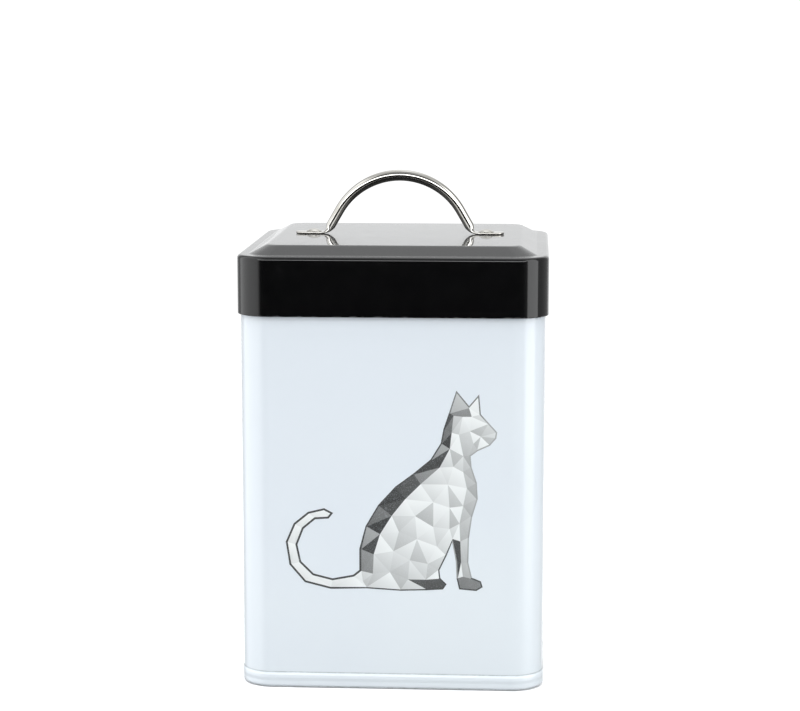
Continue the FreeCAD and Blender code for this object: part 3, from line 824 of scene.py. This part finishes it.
def inset(poly, width):
    """The outline moved inwards by width, mitres limited at sharp tips."""
    out = []
    for i, point in enumerate(poly):
        point, before, after = Vector(point), Vector(poly[i - 1]), Vector(poly[(i + 1) % len(poly)])
        come, leave = (point - before).normalized(), (after - point).normalized()
        normal = Vector((-come.y, come.x))
        mitre = normal + Vector((-leave.y, leave.x))
        mitre = mitre.normalized() if mitre.length > 1e-6 else normal
        line = width * (1.5 if point.x < -18 else 1.0)         # heavier round the tail
        moved = point + mitre * min(line / max(mitre.dot(normal), 0.2), 2.6 * line)
        out.append((round(moved.x, 3), round(moved.y, 3)))
    return out


INSET = inset(CAT, CONTOUR)


def tone_of(x, z, i):
    """Tone of facet i, centred at (x, z)."""
    if not within(x, z, INSET):                                # the drawn contour
        if x > 30 and z > 97:
            return 0.48
        return 0.66 if x > 33 and z > 9 else 0.27
    if (34 < x < 41 and 96 < z < 104) or (z > 101 and x < 35):     # ears
        return 0.56
    if within(x, z, BACK_POLY):
        return DARK[int(z * 0.16) % 8]
    if x < -17:                                                # tail
        return 0.94
    if z < 6 and x > 34:                                       # paws
        return 0.52
    if z < 8 and 14 < x < 31:
        return 0.34
    if 31 < x < 37 and 7 < z < 29:                             # beside the front leg
        return 0.30
    if within(x, z, CHEST_POLY):
        return MIDDLE[i % 4]
    return LIGHT[(i * 5 + int(x + z)) % 9]


def cat_facets():
    """Flat points, and facets as (corners, (tone, centre))."""
    points, edges = [], []
    for line, loop in ((CAT, True), (INSET, True), (BACK_IN, False), (CHEST_IN, False)):
        ids = []
        for point in line:
            if point not in points:
                points.append(point)
            ids.append(points.index(point))
        edges.extend(zip(ids, ids[1:]))
        if loop:
            edges.append((ids[-1], ids[0]))
    points.extend(LOOSE)
    flat, _, triangles, *_ = delaunay_2d_cdt([Vector(p) for p in points], edges, [], 0, 1e-4)
    kept = []
    for tri in triangles:
        centre = (sum(flat[v][0] for v in tri) / 3, sum(flat[v][1] for v in tri) / 3)
        if within(*centre, CAT):
            kept.append((tri, (tone_of(*centre, len(kept)), centre)))
    return flat, kept


def build_picture():
    """A thin closed slab of ink that follows the front wall."""
    flat, kept = cat_facets()
    used = sorted({v for tri, _ in kept for v in tri})
    front = {v: i for i, v in enumerate(used)}
    count = len(used)
    verts, faces, tones = [], [], []
    for lift in (INK_TOP, INK_UNDER):
        for v in used:
            x, z = flat[v][0] + PRINT_X, flat[v][1] + PRINT_Z
            verts.append((x, -(BODY + sheet_wave(3, x / BODY_CENTRE, z) + lift), z))
    border = {}
    for tri, tone in kept:
        ids = [front[v] for v in tri]
        first, second, third = (Vector(verts[i]) for i in ids)
        if (second - first).cross(third - first).y > 0:        # turn it to face the front
            ids = ids[::-1]
        faces.append(tuple(ids))
        faces.append(tuple(i + count for i in ids[::-1]))
        tones += [tone] * 2
        for i, j in zip(ids, ids[1:] + ids[:1]):
            if (j, i) in border:
                del border[(j, i)]
            else:
                border[(i, j)] = tone
    for (i, j), tone in border.items():
        faces.append((j, i, i + count, j + count))
        tones.append(tone)
    picture = make("printed_picture", verts, faces, [M_INK], smooth=False)
    ink = picture.data.color_attributes.new("ink", "FLOAT_COLOR", "CORNER")
    values = []
    for poly in picture.data.polygons:         # each facet is shaded a little across its width
        tone, (centre_x, centre_z) = tones[poly.index]
        for v in poly.vertices:
            x, _, z = (k / MM for k in picture.data.vertices[v].co)
            slant = ((x - PRINT_X - centre_x) * 0.5 + (z - PRINT_Z - centre_z) * 0.86) / 7.0
            shade = tone * (1 + 0.085 * max(-1.2, min(1.2, slant)))
            shade = max(0.1, min(0.97, shade))
            values += rgb(shade * 252, shade * 255, shade * 255)
    ink.data.foreach_set("color", values)
    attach(picture, "bin")


build_picture()


# ---------------------------------------------------------------- floor
def build_floor():
    """A round floor, sizes in metres, that fades out from the middle."""
    segs, radii = 96, (0.12, 0.3, 0.6, 1.0, 1.6, 2.6)
    verts, faces = [(0, 0, 0)], []
    for radius in radii:
        for j in range(segs):
            angle = 2 * math.pi * j / segs
            verts.append((radius * math.cos(angle), radius * math.sin(angle), 0))
    for j in range(segs):
        k = (j + 1) % segs
        faces.append((0, 1 + j, 1 + k))
        for i in range(len(radii) - 1):
            ring, after = 1 + i * segs, 1 + (i + 1) * segs
            faces.append((ring + j, after + j, after + k, ring + k))
    mesh = bpy.data.meshes.new("floor")
    mesh.from_pydata(verts, [], faces)
    obj = bpy.data.objects.new("studio_floor", mesh)
    obj.location.z = -0.0002
    scene.collection.objects.link(obj)

    mat = bpy.data.materials.new("studio_floor")
    shader = Shader(mat)
    place = shader.add("TexCoord").outputs["Object"]
    reach = shader.add("VectorMath", {"operation": "LENGTH"}, i0=place).outputs["Value"]
    cloud = shader.step(shader.noise(place, scale=40.0, detail=3.0), over=(0.3, 0.7))
    pale = shader.mix(cloud, rgb(243, 244, 245), rgb(247, 247, 248))
    # a little darker as a bounce than as seen, so that the lower walls are not over-lit
    lit = shader.mix(shader.ray("Camera"), rgb(163, 165, 166), pale)
    diffuse = shader.add("BsdfDiffuse", Color=lit).outputs[0]
    clear = shader.add("BsdfTransparent").outputs[0]
    # clear to glossy rays, so that mirror-like paint sees the dark end of the studio
    fade = shader.math("MAXIMUM", shader.step(reach, over=(0.35, 1.05)), shader.ray("Glossy"))
    mixed = shader.add("MixShader", Fac=fade, i1=diffuse, i2=clear).outputs[0]
    shader.add("OutputMaterial", i0=mixed)
    mesh.materials.append(mat)


build_floor()


# ---------------------------------------------------------------- world
def build_world():
    """Soft panels by azimuth (0 at the front, + to the right) and elevation, in degrees."""
    world = bpy.data.worlds.new("studio")
    scene.world = world
    shader = Shader(world)
    plus, step = shader.plus, shader.step
    view = shader.add("TexCoord").outputs["Generated"]
    x, y, z = shader.add("SeparateXYZ", Vector=view).outputs
    degrees = 180 / math.pi
    azimuth = shader.math("ARCTAN2", x, shader.times(y, by=-1.0))
    azimuth = shader.times(azimuth, degrees)
    elevation = shader.times(shader.math("ARCSINE", z), degrees)
    aside = shader.math("ABSOLUTE", azimuth)
    mirror = shader.ray("Glossy")

    def panel(across, across_soft, up, up_soft, strength):
        shape = shader.times(shader.window(azimuth, across, across_soft),
                             shader.window(elevation, up, up_soft))
        return shader.times(shape, strength)

    def dimmed(strength, loss):
        """The strength, less for mirror-like surfaces."""
        return shader.math("SUBTRACT", strength, shader.times(mirror, loss))

    fill = step(aside, over=(28, 58), to=(0.015, 0.36))        # dark towards the front
    front = panel(across=(-40, 40), across_soft=6, up=(8, 40), up_soft=5,
                  strength=dimmed(1.05, loss=0.8))
    back = step(aside, over=(140, 158), to=(0.0, 0.62))        # pale wall behind the tin
    right = panel(across=(46, 86), across_soft=2.5, up=(-13, 48), up_soft=5, strength=2.2)
    left = panel(across=(-122, -38), across_soft=6, up=(-17, 55), up_soft=6, strength=1.1)
    # mirrors see a dimmer ceiling, so bright steel stays apart from the white ground, and a
    # strip light low in front, which draws the thin lines along rolled edges
    top = shader.times(step(elevation, over=(38, 60)), dimmed(2.6, loss=2.15))
    strip = panel(across=(-42, 42), across_soft=4, up=(12, 25), up_soft=2,
                  strength=shader.times(mirror, by=5.0))
    total = plus(plus(plus(fill, front), plus(back, strip)), plus(right, plus(left, top)))
    studio = shader.add("Background", Color=(0.985, 0.995, 1.0, 1.0), Strength=total).outputs[0]
    plain = shader.add("Background", Color=(1.0, 1.0, 1.0, 1.0), Strength=1.12).outputs[0]
    both = shader.add("MixShader", Fac=shader.ray("Camera"), i1=studio, i2=plain).outputs[0]
    shader.add("OutputWorld", i0=both)


build_world()


# ---------------------------------------------------------------- light and camera, in metres
def aimed(name, data, place, target):
    obj = bpy.data.objects.new(name, data)
    obj.location = place
    obj.rotation_euler = (Vector(target) - Vector(place)).to_track_quat("-Z", "Y").to_euler()
    scene.collection.objects.link(obj)
    return obj


softbox = bpy.data.lights.new("key_softbox", "AREA")
softbox.shape = "RECTANGLE"
softbox.size, softbox.size_y = 0.9, 0.7
softbox.energy = 2.0
key = aimed("key_softbox", softbox, place=(-0.45, -0.95, 1.35), target=(0, 0, 0.12))
key.visible_glossy = False

lens = bpy.data.cameras.new("camera")
lens.sensor_width = 36.0
lens.lens = 100.0
lens.clip_start, lens.clip_end = 0.05, 20.0
scene.camera = aimed("camera", lens, place=(0.0775, -1.2845, 0.3684), target=(0.0, 0.0, 0.176))
scene.view_settings.view_transform = "Standard"
scene.view_settings.look = "None"
scene.view_settings.exposure = 0.0

bpy.context.view_layer.update()
